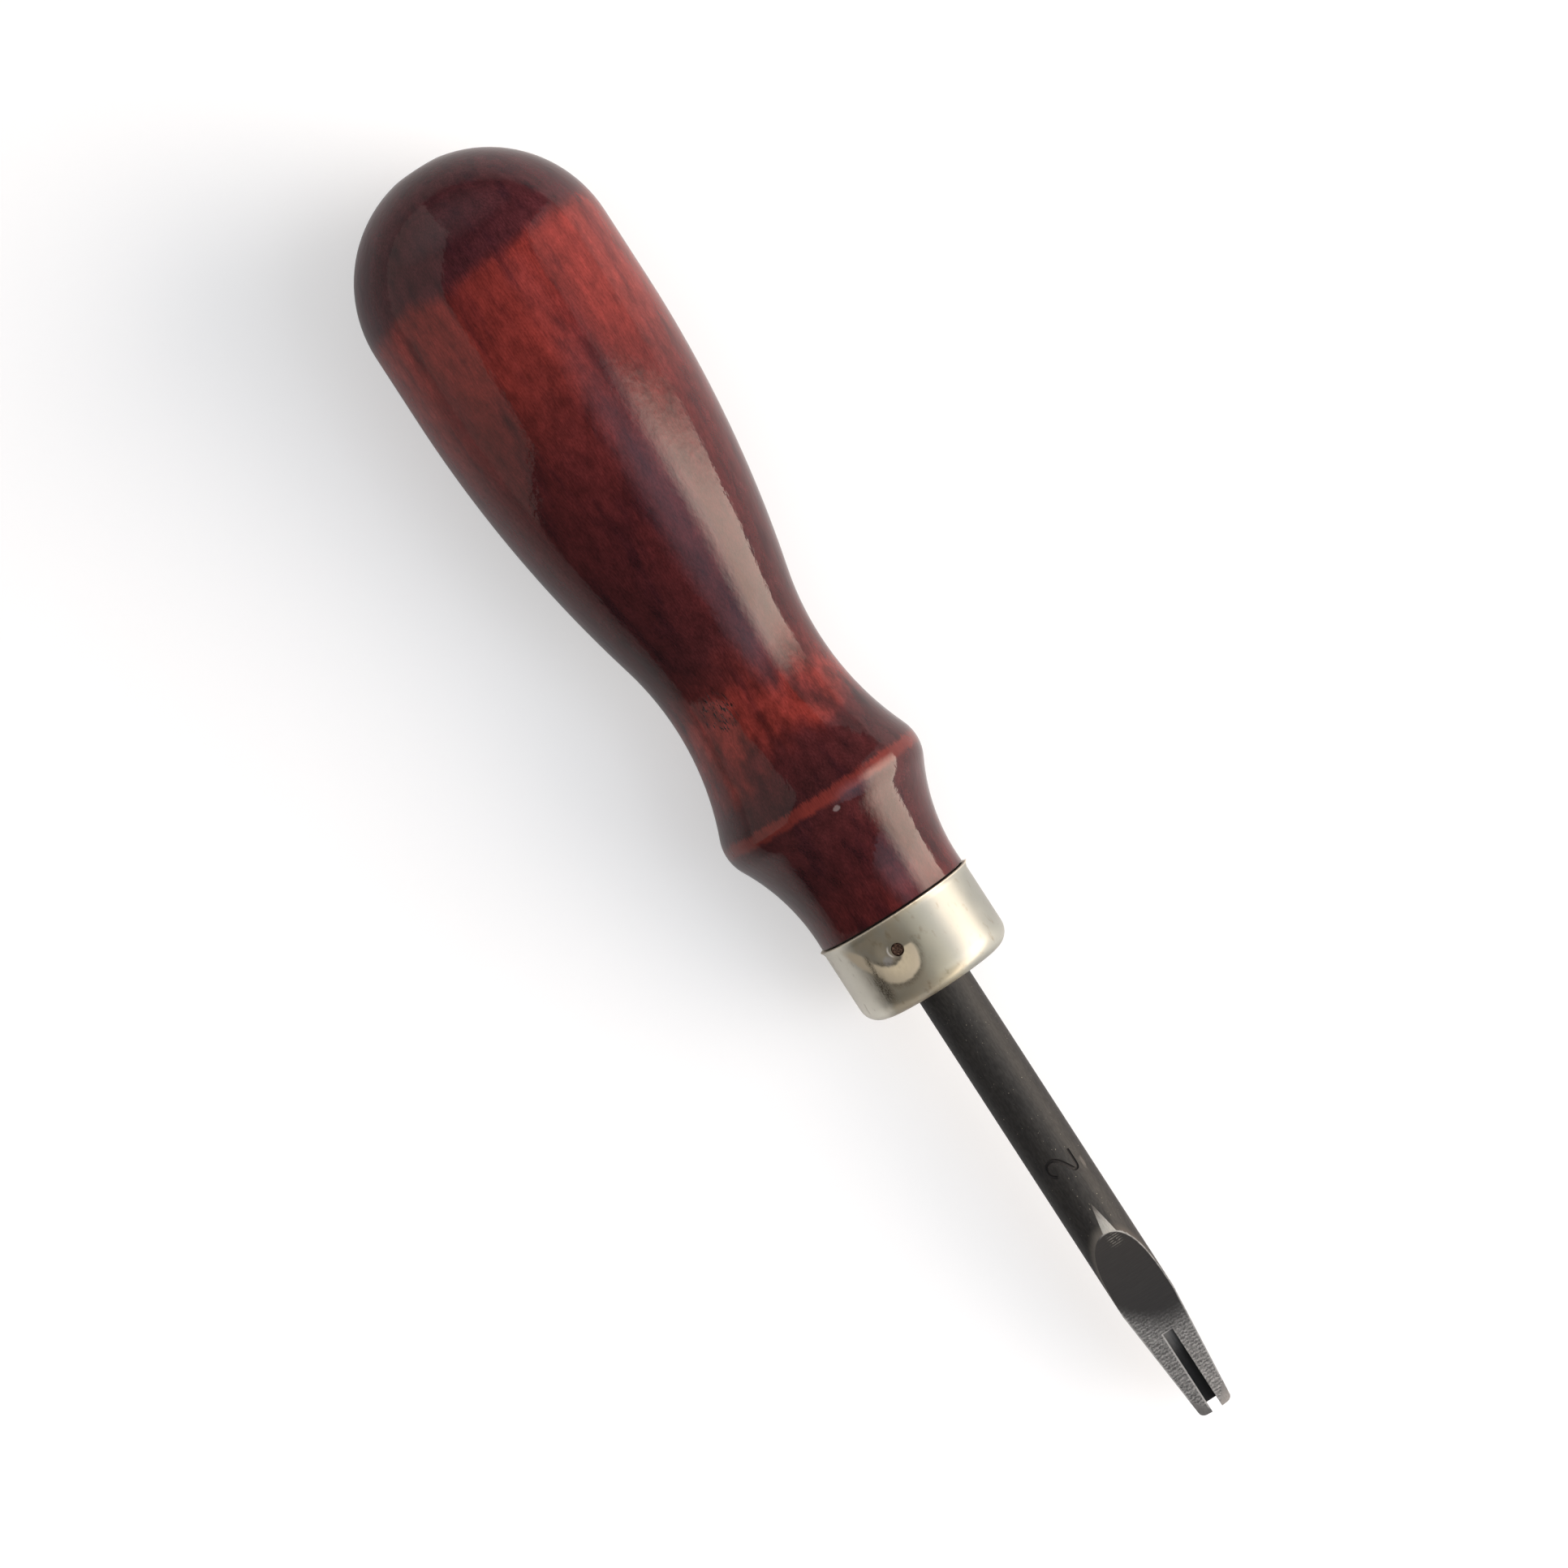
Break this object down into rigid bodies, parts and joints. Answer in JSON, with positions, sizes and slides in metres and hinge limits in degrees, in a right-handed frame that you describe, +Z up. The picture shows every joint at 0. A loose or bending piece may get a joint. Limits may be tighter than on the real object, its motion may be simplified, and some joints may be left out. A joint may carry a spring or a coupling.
{
  "type": "leather edge beveler",
  "caption": "Leather edge beveler with a turned hardwood handle, a pinned metal ferrule and a round steel blade ending in a scooped, forked cutting tip.",
  "frame": {"origin": "on the bench that the tool lies on, under the middle of its bounding box", "axes": "+X along the bench from the butt towards the cutting tip, +Z up with the scooped face of the blade looking up, +Y to the left of someone who looks from the butt to the tip"},
  "size_m": [0.1478, 0.0272, 0.0276],
  "materials": {
    "stained_hardwood": "red-brown stain under gloss lacquer",
    "nickel_plate": "satin nickel plate, lightly tarnished",
    "brad_steel": "dull, rusty brown",
    "blackened_steel": "matt black oxide, bare on the ground edges"
  },
  "bodies": {
    "root": {"handle": "stained_hardwood", "ferrule": "nickel_plate", "ferrule_brad": "brad_steel", "blade": "blackened_steel"}
  },
  "joints": []
}
